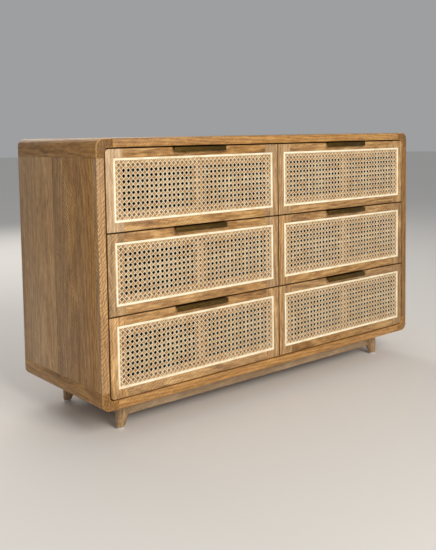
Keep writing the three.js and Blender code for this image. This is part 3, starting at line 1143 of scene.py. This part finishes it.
@dataclass
class CaneWebbing:
    """Six-way cane webbing: strands in pairs up and across, and single strands both ways aslant.

    Attributes:
        pitch: The spacing of the holes.
        pair: Half the spacing of the two strands of a pair.
        wide: The width of the upright and level strands.
        slant_wide: The width of the slanting strands.
        thick: The thickness of a strand.
        lift: How far a pair's strand rises where it passes over one of the other pair.
        slant_lift: How far a slanting strand rises over a pair.
        pair_painted_shade: How much darker the pairs are painted than the cane's middle shade: painted shade,
            as they lie under the slanting strands.
        slant_painted_highlight: How much lighter the slanting strands are painted: a painted highlight, as
            they lie on top.
        parts: The sets of parallel strands, as they are laid.
    """

    pitch: float = 15.875 * MM
    pair: float = 1.55 * MM
    wide: float = 1.7 * MM
    slant_wide: float = 1.8 * MM
    thick: float = 0.62 * MM
    lift: float = 0.37 * MM
    slant_lift: float = 0.66 * MM
    pair_painted_shade: float = -0.2
    slant_painted_highlight: float = 0.45
    parts: list[bpy.types.Object] = field(default_factory=list)

    def strand_cell(self, points: Sequence[Vector], wide: float) -> bpy.types.Object:
        """Draw one pitch of a strand from a flat rounded section.

        Args:
            points: The strand's middle, from one end of the cell to the other.
            wide: The strand's width.

        Returns:
            The open-ended length of strand.
        """
        bpy.ops.object.select_all(action="DESELECT")
        bpy.ops.mesh.primitive_circle_add(vertices=6, radius=0.5, fill_type="NOTHING")
        piece = bpy.context.active_object
        run = (points[-1] - points[0]).normalized()
        front = Vector((0, 1, 0))
        turn = Matrix((front.cross(run), front, run)).transposed().to_4x4()
        section = Matrix.Diagonal((wide, self.thick, 1.0, 1.0))
        piece.matrix_world = Matrix.Translation(points[0]) @ turn @ section
        settle(piece)
        bpy.ops.object.mode_set(mode="EDIT")
        bpy.ops.mesh.select_all(action="SELECT")
        for a, b in zip(points[:-1], points[1:]):
            bpy.ops.mesh.extrude_region_move(TRANSFORM_OT_translate={"value": b - a})
        bpy.ops.object.mode_set(mode="OBJECT")
        return piece

    def repeat(self, piece: bpy.types.Object, offset: Point, count: int, weld: bool) -> None:
        """Repeat a piece along an offset.

        Args:
            piece: The piece.
            offset: From each copy to the next.
            count: How many there are in the end.
            weld: Whether to weld the joints, where the copies run on from each other.
        """
        modify(
            piece, "ARRAY", count=count, use_relative_offset=False, use_constant_offset=True,
            constant_offset_displace=offset, use_merge_vertices=weld, merge_threshold=0.02 * MM,
        )

    def family(
        self, cells: Sequence[bpy.types.Object], across: Point, start: float, gap: float, light: float
    ) -> None:
        """Keep a set of parallel strands, each with a shade of its own.

        Args:
            cells: Its repeated strands.
            across: The direction across the strands.
            start: Where the strands' numbering starts along that direction.
            gap: The room that each strand has.
            light: How much lighter the whole set is painted: painted highlight on the slanting strands,
                painted shade on the pairs.
        """
        number = len(self.parts)
        piece = join(list(cells), f"strands_{number}")
        side = Vector(across)
        keys = [math.floor((vertex.co.dot(side) - start) / gap) for vertex in piece.data.vertices]
        seeds = {key: random.Random(number * 10007 + key) for key in sorted(set(keys))}
        shades = {key: light + seed.uniform(-0.2, 0.2) for key, seed in seeds.items()}
        write_attribute(piece, "strand", [(shades[key], 0.0, 0.0) for key in keys])
        self.parts.append(piece)

    def pairs(self, upright: bool, x0: float, z0: float, counts: tuple[int, int]) -> None:
        """Lay the paired strands one way.

        Args:
            upright: True for the strands that run up, False for the level ones.
            x0: The first crossing's X.
            z0: The first crossing's Z.
            counts: How many pitches to fill across and up.
        """
        pitch, pair = self.pitch, self.pair
        marks = (-0.5, -0.23, -pair / pitch, 0.0, pair / pitch, 0.23, 0.5)
        rises = (0.0, 0.35, 1.0, 0.0, -1.0, -0.35, 0.0)
        across = Vector((1, 0, 0)) if upright else Vector((0, 0, 1))
        along = Vector((0, 0, 1)) if upright else Vector((1, 0, 0))
        strands = []
        for side in (-1, 1):
            over = side if upright else -side
            middle = Vector((x0, 0, z0)) + across * side * pair
            points = [
                middle + along * mark * pitch - Vector((0, over * self.lift * rise, 0))
                for mark, rise in zip(marks, rises)
            ]
            cell = self.strand_cell(points, self.wide)
            self.repeat(cell, along * pitch, counts[1 if upright else 0], True)
            self.repeat(cell, across * pitch, counts[0 if upright else 1], False)
            strands.append(cell)
        # the pairs lie under the slanting strands: painted shade
        self.family(strands, across, x0 if upright else z0, pitch / 2, self.pair_painted_shade)

    def slants(self, slope: int, x0: float, z0: float, counts: tuple[int, int]) -> None:
        """Lay the slanting strands one way.

        Args:
            slope: 1 for the strands that rise to the right, -1 for the others.
            x0: The first crossing's X.
            z0: The first crossing's Z.
            counts: How many pitches to fill across and up.
        """
        pitch = self.pitch
        marks = (0.0, 0.16, 0.34, 0.5, 0.66, 0.84, 1.0)
        rises = (1.0, 0.75, -0.75, -1.0, -0.75, 0.75, 1.0)
        reach_x, reach_z = counts
        first = x0 - (reach_z if slope > 0 else 0) * pitch
        start = Vector((first, 0, z0 - 0.5 * pitch))
        points = [
            start + Vector((slope * mark * pitch, slope * self.slant_lift * rise, mark * pitch))
            for mark, rise in zip(marks, rises)
        ]
        cell = self.strand_cell(points, self.slant_wide)
        self.repeat(cell, (slope * pitch, 0, pitch), reach_z, True)
        self.repeat(cell, (pitch, 0, 0), reach_x + reach_z, False)
        across = (1, 0, -slope)
        middle = first - slope * start.z
        # the slanting strands lie on top: painted highlight
        self.family([cell], across, middle - pitch / 2, pitch, self.slant_painted_highlight)

    def weave(self, half_x: float, half_z: float) -> bpy.types.Object:
        """Weave a panel round the world's middle.

        Args:
            half_x: Half its width.
            half_z: Half its height.

        Returns:
            The woven panel.
        """
        columns = math.ceil(half_x / self.pitch) + 1
        rows = math.ceil(half_z / self.pitch) + 1
        x0, z0 = (0.5 - columns) * self.pitch, -rows * self.pitch
        counts = (2 * columns, 2 * rows + 1)
        self.pairs(True, x0, z0, counts)
        self.pairs(False, x0, z0, counts)
        self.slants(1, x0, z0, counts)
        self.slants(-1, x0, z0, counts)
        for part in self.parts:
            for sign in (-1, 1):
                slice_off(part, (sign * half_x, 0, 0), (sign, 0, 0))
                slice_off(part, (0, 0, sign * half_z), (0, 0, sign))
        woven = join(self.parts, "woven_cane")
        activate(woven)
        bpy.ops.object.mode_set(mode="EDIT")
        bpy.ops.mesh.select_all(action="SELECT")
        bpy.ops.mesh.normals_make_consistent(inside=False)
        bpy.ops.object.mode_set(mode="OBJECT")
        bpy.ops.object.shade_smooth_by_angle(angle=math.radians(70))
        return woven


# ------------------------------------------------------------------------------------------- drawers


class Row(Enum):
    """The three rows of drawers."""

    TOP = "top"
    MIDDLE = "middle"
    BOTTOM = "bottom"


class Column(Enum):
    """The two columns of drawers."""

    LEFT = "left"
    RIGHT = "right"


@dataclass(frozen=True)
class DrawerFinishes:
    """The finishes that every drawer shares: one for each kind of piece."""

    front: bpy.types.Material
    cane: bpy.types.Material
    bead: bpy.types.Material
    brass: bpy.types.Material
    box: bpy.types.Material
    backing: bpy.types.Material


@dataclass
class Drawer:
    """One drawer: framed cane front, pull, box and bottom.

    Attributes:
        row: Its row.
        column: Its column.
        finishes: The finishes of its pieces.
        tones: The tones of the left stile, the right stile, the top rail and the bottom rail.
        stile: The width of the front's stiles.
        rail: The height of its rails.
        mullion: The width of the middle stile behind the cane.
        rebate_x: How far the cane's rebate stays from the front's left and right edges.
        rebate_z: How far it stays from the top and bottom edges.
        rebate_deep: Its depth.
        rebate_painted_shade: How light its floor stays: painted shade under the weave, so that the weave
            stands out.
        gap_edge_painted_shade: How light the front's own edges stay: painted shade, for the dark of the gaps
            between the fronts.
        corner: The radius of the corner that fits the carcass's bend.
        arris: The radius of the face's edges.
        bead_wide: The bead's width.
        bead_round: The radius of its edges.
        cane_level: How far behind the front's face the weave's middle lies.
        wall: The thickness of the box's walls.
        metal: The thickness of the pull's metal.
        lip: How far the pull's lip hangs down.
        fold: The radius of the pull's fold.
        notch: The depth of the pull's notch in the front's top edge.
        notch_room: The play at each end of it.
        lining: The thickness of the lining round the windows.
        lining_gap: The play round it.
        backing_deep: How far into the front the dark boards at its back reach.
    """

    row: Row
    column: Column
    finishes: DrawerFinishes
    tones: tuple[Tone, Tone, Tone, Tone]
    stile: float = 56 * MM
    rail: float = 55 * MM
    mullion: float = 34 * MM
    rebate_x: float = 24 * MM
    rebate_z: float = 26 * MM
    rebate_deep: float = 2.5 * MM
    rebate_painted_shade: float = 0.5
    gap_edge_painted_shade: float = 0.62
    corner: float = 12 * MM
    arris: float = 1.1 * MM
    bead_wide: float = 7 * MM
    bead_round: float = 2.2 * MM
    cane_level: float = 0.33 * MM
    wall: float = 13 * MM
    metal: float = 1.8 * MM
    lip: float = 14.5 * MM
    fold: float = 1.4 * MM
    notch: float = 2 * MM
    notch_room: float = 0.3 * MM
    lining: float = 1.0 * MM
    lining_gap: float = 0.4 * MM
    backing_deep: float = 3.2 * MM

    @property
    def name(self) -> str:
        """The start of every piece's name."""
        return f"{self.row.value}_{self.column.value}"

    @property
    def body(self) -> str:
        """The body that this drawer is."""
        return f"drawer_{self.name}"

    def build(self, webbing: bpy.types.Object) -> None:
        """Model and dress the drawer.

        Args:
            webbing: A woven panel round the world's middle, to copy.
        """
        self.front()
        self.cane(webbing)
        self.bead()
        self.pull()
        self.box()
        self.backing()

    def corners_of(self, part: str) -> tuple[Vector, Vector]:
        """The lowest and highest corner of one of this drawer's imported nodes."""
        low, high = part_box(f"{self.name}_{part}")
        return Vector(low), Vector(high)

    def front(self) -> None:
        """Join the front's stiles, rails and middle stile, with the cane's rebate and the pull's notch."""
        low, high = self.corners_of("front_frame")
        pull_low, pull_high = self.corners_of("edge_pull")
        x_in, x_end = low.x + self.stile, high.x - self.stile
        z_in, z_end = low.z + self.rail, high.z - self.rail
        centre = (low.x + high.x) / 2
        left, right, upper, lower = self.tones
        parts = [
            (low.x, low.z, x_in, high.z, Grain.ALONG_Z, left),
            (x_end, low.z, high.x, high.z, Grain.ALONG_Z, right),
            (x_in, z_end, x_end, high.z, Grain.ALONG_X, upper),
            (x_in, low.z, x_end, z_in, Grain.ALONG_X, lower),
            (centre - self.mullion / 2, z_in, centre + self.mullion / 2, z_end, Grain.ALONG_Z, right),
        ]
        bench = Joinery(f"{self.name}_front_joined")
        outer_x = low.x if self.column is Column.LEFT else high.x
        outer_z = {Row.TOP: high.z, Row.MIDDLE: math.inf, Row.BOTTOM: low.z}[self.row]
        for x0, z0, x1, z1, grain, tone in parts:
            board = block((x0, low.y, z0), (x1, high.y, z1))
            if outer_x in (x0, x1) and outer_z in (z0, z1):
                round_edges(board, on_line(x=outer_x, z=outer_z), self.corner, 8)
            self.round_rim(board, low, high)
            carve(board, block(
                (low.x + self.rebate_x, low.y - 1 * MM, low.z + self.rebate_z),
                (high.x - self.rebate_x, low.y + self.rebate_deep, high.z - self.rebate_z),
            ))
            if z1 == high.z and x0 == x_in:
                carve(board, block(
                    (pull_low.x - self.notch_room, low.y - 1 * MM, high.z - self.notch),
                    (pull_high.x + self.notch_room, high.y + 1 * MM, high.z + 1 * MM),
                ))
            # painted shade on the rebate's floor under the cane and on the edges in the gaps
            bench.add(board, grain, tone, 0.2 * MM, lambda point: self.painted_shade_at(point, low, high))
        place(bench.glue(), self.finishes.front, self.body, [f"{self.name}_front_frame"])

    def painted_shade_at(self, point: Vector, low: Vector, high: Vector) -> float:
        """Say how light a point of the front's colour is painted: painted shade under the cane and on the
        edges in the gaps.

        Args:
            point: The point.
            low: The front's lowest corner.
            high: The front's highest corner.

        Returns:
            1 on the face, and less, as painted shade, on the rebate's floor and on the edges that line the
            gaps.
        """
        inward = min(point.x - low.x, high.x - point.x, point.z - low.z, high.z - point.z)
        # painted shade on the edges that line the gaps between the fronts
        if inward < 0.3 * MM and point.y > low.y + self.arris / 2:
            return self.gap_edge_painted_shade
        # painted shade on the rebate's floor under the cane
        return self.rebate_painted_shade if abs(point.y - low.y - self.rebate_deep) < 0.3 * MM else 1.0

    def round_rim(self, board: bpy.types.Object, low: Vector, high: Vector) -> None:
        """Round the part of a board's face edge that is the front's own rim.

        Args:
            board: The board.
            low: The front's lowest corner.
            high: The front's highest corner.
        """

        def on_rim(point: Vector) -> bool:
            """Say whether a point is on the front's outline, its round corner included.

            Args:
                point: The point.

            Returns:
                True if it is.
            """
            near_x = min(point.x - low.x, high.x - point.x)
            near_z = min(point.z - low.z, high.z - point.z)
            on_arc = near_x < self.corner and near_z < self.corner
            gap = math.hypot(self.corner - near_x, self.corner - near_z) - self.corner
            return min(near_x, near_z) < TOUCHING or (on_arc and abs(gap) < TOUCHING)

        at_face = on_line(y=low.y)

        def chosen(a: Vector, b: Vector) -> bool:
            """True for an edge of the outline at the face."""
            across = abs(a.x - b.x) < TOUCHING and min(a.x - low.x, high.x - a.x) > self.corner
            upward = abs(a.z - b.z) < TOUCHING and min(a.z - low.z, high.z - a.z) > self.corner
            return at_face(a, b) and on_rim(a) and on_rim(b) and not across and not upward

        round_edges(board, chosen, self.arris, 3)

    def cane(self, webbing: bpy.types.Object) -> None:
        """Lay a copy of the woven panel in the rebate.

        Args:
            webbing: A woven panel round the world's middle, to copy.
        """
        low, high = self.corners_of("cane_panel")
        middle = ((low.x + high.x) / 2, low.y + self.cane_level, (low.z + high.z) / 2)
        panel = copy_to(webbing, middle, f"{self.name}_woven_cane")
        place(panel, self.finishes.cane, self.body, [f"{self.name}_cane_panel"])

    def bead(self) -> None:
        """Run the bead round the cane: four mitred lengths with a rounded face."""
        low, high = self.corners_of("bead_trim")
        wide = self.bead_wide
        lengths = [
            ((low.x, high.z - wide), (high.x, high.z), "z", Grain.ALONG_X, -1),
            ((low.x, low.z), (high.x, low.z + wide), "z", Grain.ALONG_X, 1),
            ((low.x, low.z), (low.x + wide, high.z), "x", Grain.ALONG_Z, 1),
            ((high.x - wide, low.z), (high.x, high.z), "x", Grain.ALONG_Z, -1),
        ]
        bench = Joinery(f"{self.name}_rattan_bead")
        for (x0, z0), (x1, z1), side, grain, inward in lengths:
            piece = block((x0, low.y, z0), (x1, high.y, z1))
            for value in ((z0, z1) if side == "z" else (x0, x1)):
                round_edges(piece, on_line(**{"y": low.y, side: value}), self.bead_round, 4)
            for end, x, z in ((-1, low.x, low.z), (1, high.x, high.z)):
                if side == "z":
                    slice_off(piece, (x, 0, z1 if inward < 0 else z0), (end, 0, inward))
                else:
                    slice_off(piece, (x0 if inward > 0 else x1, 0, z), (inward, 0, end))
            bench.add(piece, grain, Tone(), 0.12 * MM)
        place(bench.glue(), self.finishes.bead, self.body, [f"{self.name}_bead_trim"])

    def pull(self) -> None:
        """Fold the pull from one strip of metal: front lip, top plate and rear flange."""
        low, high = self.corners_of("edge_pull")
        thick = self.metal
        piece = block((low.x, low.y, high.z - thick), high)
        lip = block((low.x, low.y, high.z - self.lip), (high.x, low.y + thick, high.z - thick / 2))
        flange = block((low.x, high.y - thick, low.z), (high.x, high.y, high.z - thick / 2))
        for part in (lip, flange):
            modify(piece, "BOOLEAN", operation="UNION", solver="EXACT", object=part)
            bpy.data.objects.remove(part, do_unlink=True)
        round_edges(piece, on_line(y=low.y, z=high.z), self.fold, 4)
        ease(piece, 0.4 * MM)
        piece.name = f"{self.name}_folded_pull"
        place(piece, self.finishes.brass, self.body, [f"{self.name}_edge_pull"])

    def box(self) -> None:
        """Join the drawer box and fit its bottom."""
        low, high = self.corners_of("drawer_box")
        wall = self.wall
        bench = Joinery(f"{self.name}_box_joined")
        for start, end in ((low.x, low.x + wall), (high.x - wall, high.x)):
            near, far = (start, low.y, low.z), (end, high.y, high.z)
            bench.board(near, far, Grain.ALONG_Y, Tone(1.0, 0.2, 0.0), 0.6 * MM)
        for start, end in ((low.y, low.y + wall), (high.y - wall, high.y)):
            near, far = (low.x + wall, start, low.z), (high.x - wall, end, high.z)
            bench.board(near, far, Grain.ALONG_X, Tone(0.97, 0.25, 0.0), 0.6 * MM)
        place(bench.glue(), self.finishes.box, self.body, [f"{self.name}_drawer_box"])
        floor = Joinery(f"{self.name}_bottom_board")
        floor.board(*self.corners_of("drawer_bottom"), Grain.ALONG_X_TOP, Tone(1.03, 0.3, 0.0), 0.4 * MM)
        place(floor.glue(), self.finishes.box, self.body, [f"{self.name}_drawer_bottom"])

    def backing(self) -> None:
        """Fit black boards behind the cane and round both openings, so that its holes read black: painted
        shade for the dark inside of the drawer.
        """
        low, high = self.corners_of("front_frame")
        centre, gap, thin = (low.x + high.x) / 2, self.lining_gap, self.lining
        face, rear = high.y - self.backing_deep, high.y - self.lining_gap / 2
        near, far = low.y + self.rebate_deep + 1.2 * MM, face - 0.1 * MM
        z0, z1 = low.z + self.rail + gap, high.z - self.rail - gap
        boards = []
        for start, end in (
            (low.x + self.stile, centre - self.mullion / 2), (centre + self.mullion / 2, high.x - self.stile)
        ):
            x0, x1 = start + gap, end - gap
            for from_corner, to_corner in (
                ((x0, face, z0), (x1, rear, z1)),
                ((x0, near, z0), (x0 + thin, far, z1)),
                ((x1 - thin, near, z0), (x1, far, z1)),
                ((x0 + thin, near, z0), (x1 - thin, far, z0 + thin)),
                ((x0 + thin, near, z1 - thin), (x1 - thin, far, z1)),
            ):
                board = block(from_corner, to_corner)
                ease(board, 0.2 * MM)
                boards.append(board)
        # black boards: painted shade inside the drawer, behind the cane and round the openings
        place(join(boards, f"{self.name}_backing_boards"), self.finishes.backing, self.body)


# ------------------------------------------------------------------------------------------- surroundings


@dataclass
class Studio:
    """A pale floor, soft lights and the camera.

    Attributes:
        spot: The camera's place.
        yaw: Its turn to the left, in degrees.
        pitch: Its tilt down, in degrees.
        roll: Its roll, in degrees.
        lens: Its focal length in millimetres.
        drop: Its vertical shift.
        air: The colour of the light from all round.
        air_light: That light's strength.
        ground: The floor's colour.
        ground_radius: The floor's radius.
        aim: The height of the point that the lights face.
    """

    spot: tuple[float, float, float] = (-1.7879, -2.0786, 0.8728)
    yaw: float = -39.68
    pitch: float = 4.515
    roll: float = 0.842
    lens: float = 50.74
    drop: float = -0.147
    air: str = "#e9eaec"
    air_light: float = 0.42
    ground: str = "#e8e6e3"
    ground_radius: float = 30.0
    aim: float = 0.45

    def build(self) -> None:
        """Set up everything that isn't the dresser."""
        scene = bpy.context.scene
        scene.view_settings.view_transform = "Standard"
        world = bpy.data.worlds.new("studio_world")
        world.use_nodes = True
        feed(world.node_tree.nodes["Background"], {"Color": linear(self.air), "Strength": self.air_light})
        scene.world = world
        self.camera()
        self.floor()
        self.softbox("key", (-0.6, -4.2, 2.5), 2.2, 160.0, "#fff8ee")
        self.softbox("fill", (-3.6, -1.2, 2.4), 2.6, 7.0, "#fbfbff")
        self.softbox("rear", (0.8, 3.6, 2.8), 3.0, 70.0, "#fff8ee")

    def camera(self) -> None:
        """Place the camera."""
        lens = bpy.data.cameras.new("camera")
        lens.lens = self.lens
        lens.shift_y = self.drop
        camera = bpy.data.objects.new("camera", lens)
        bpy.context.collection.objects.link(camera)
        turn = (
            Matrix.Rotation(math.radians(self.yaw), 4, "Z")
            @ Matrix.Rotation(-math.radians(self.pitch), 4, "X")
            @ Matrix.Rotation(math.radians(self.roll), 4, "Y")
            @ Matrix.Rotation(math.pi / 2, 4, "X")
        )
        camera.matrix_world = Matrix.Translation(self.spot) @ turn
        bpy.context.scene.camera = camera

    def floor(self) -> None:
        """Lay the floor."""
        bpy.ops.object.select_all(action="DESELECT")
        bpy.ops.mesh.primitive_circle_add(vertices=96, radius=self.ground_radius, fill_type="NGON")
        floor = bpy.context.active_object
        floor.name = "studio_floor"
        material, _, shader = new_material("pale_studio_floor")
        feed(shader, {"Base Color": linear(self.ground), "Roughness": 0.7})
        floor.data.materials.append(material)

    def softbox(self, name: str, spot: Point, size: float, watts: float, colour: str) -> None:
        """Hang one square soft light that faces the dresser.

        Args:
            name: The light's name.
            spot: Its place.
            size: The length of its sides.
            watts: Its power.
            colour: Its sRGB colour.
        """
        light = bpy.data.lights.new(name, "AREA")
        light.size = size
        light.energy = watts
        light.color = linear(colour)[:3]
        holder = bpy.data.objects.new(name, light)
        bpy.context.collection.objects.link(holder)
        turn = (Vector((0, 0, self.aim)) - Vector(spot)).to_track_quat("-Z", "Y")
        holder.matrix_world = Matrix.Translation(spot) @ turn.to_matrix().to_4x4()


# for each drawer, the light, greyness and figure of its left stile, right stile, top rail and bottom rail
DRAWER_TONES: dict[tuple[Row, Column], tuple[tuple[float, float, float], ...]] = {
    (Row.TOP, Column.LEFT): ((1.25, 0.95, 0.3), (0.85, 0.5, 0.3), (0.95, 0.0, 0.3), (0.95, 0.1, 0.5)),
    (Row.MIDDLE, Column.LEFT): ((0.83, 0.5, 0.7), (0.88, 0.5, 0.4), (1.0, 0.1, 0.3), (1.05, 0.15, 0.5)),
    (Row.BOTTOM, Column.LEFT): ((1.2, 0.3, 0.6), (0.95, 0.3, 0.4), (1.0, 0.1, 0.4), (1.05, 0.3, 0.8)),
    (Row.TOP, Column.RIGHT): ((0.95, 0.5, 0.3), (0.85, 0.3, 0.4), (0.9, 0.15, 0.4), (0.85, 0.15, 0.5)),
    (Row.MIDDLE, Column.RIGHT): ((0.95, 0.3, 0.3), (0.8, 0.3, 0.4), (0.85, 0.2, 0.4), (0.82, 0.05, 0.5)),
    (Row.BOTTOM, Column.RIGHT): ((0.95, 0.3, 0.4), (0.8, 0.3, 0.4), (0.8, 0.2, 0.4), (0.82, 0.05, 0.5)),
}


def build_drawers() -> None:
    """Weave one cane panel and build the six drawers round copies of it."""
    finishes = DrawerFinishes(
        FRONT_MANGO.material(), Cane().material(), PeeledRattan().material(), AgedBrass().material(),
        PINE.material(), SHADE_BLACK.material(),
    )
    low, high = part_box("top_left_cane_panel")
    under_bead = 1.8 * MM
    webbing = CaneWebbing().weave((high[0] - low[0]) / 2 + under_bead, (high[2] - low[2]) / 2 + under_bead)
    for (row, column), tones in DRAWER_TONES.items():
        left, right, upper, lower = (Tone(*tone) for tone in tones)
        Drawer(row, column, finishes, (left, right, upper, lower)).build(webbing)
    bpy.data.objects.remove(webbing, do_unlink=True)


def main() -> None:
    """Build the dresser and its surroundings."""
    logging.basicConfig(level=logging.INFO, format="%(name)s: %(message)s")
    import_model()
    bpy.ops.object.select_all(action="DESELECT")
    Studio().build()
    Carcass(MANGO.material(), PLYWOOD.material(), ZINC.material()).build()
    Base(SHADED_BASE_WOOD.material(), NYLON.material()).build()
    build_drawers()


if __name__ == "__main__":
    main()
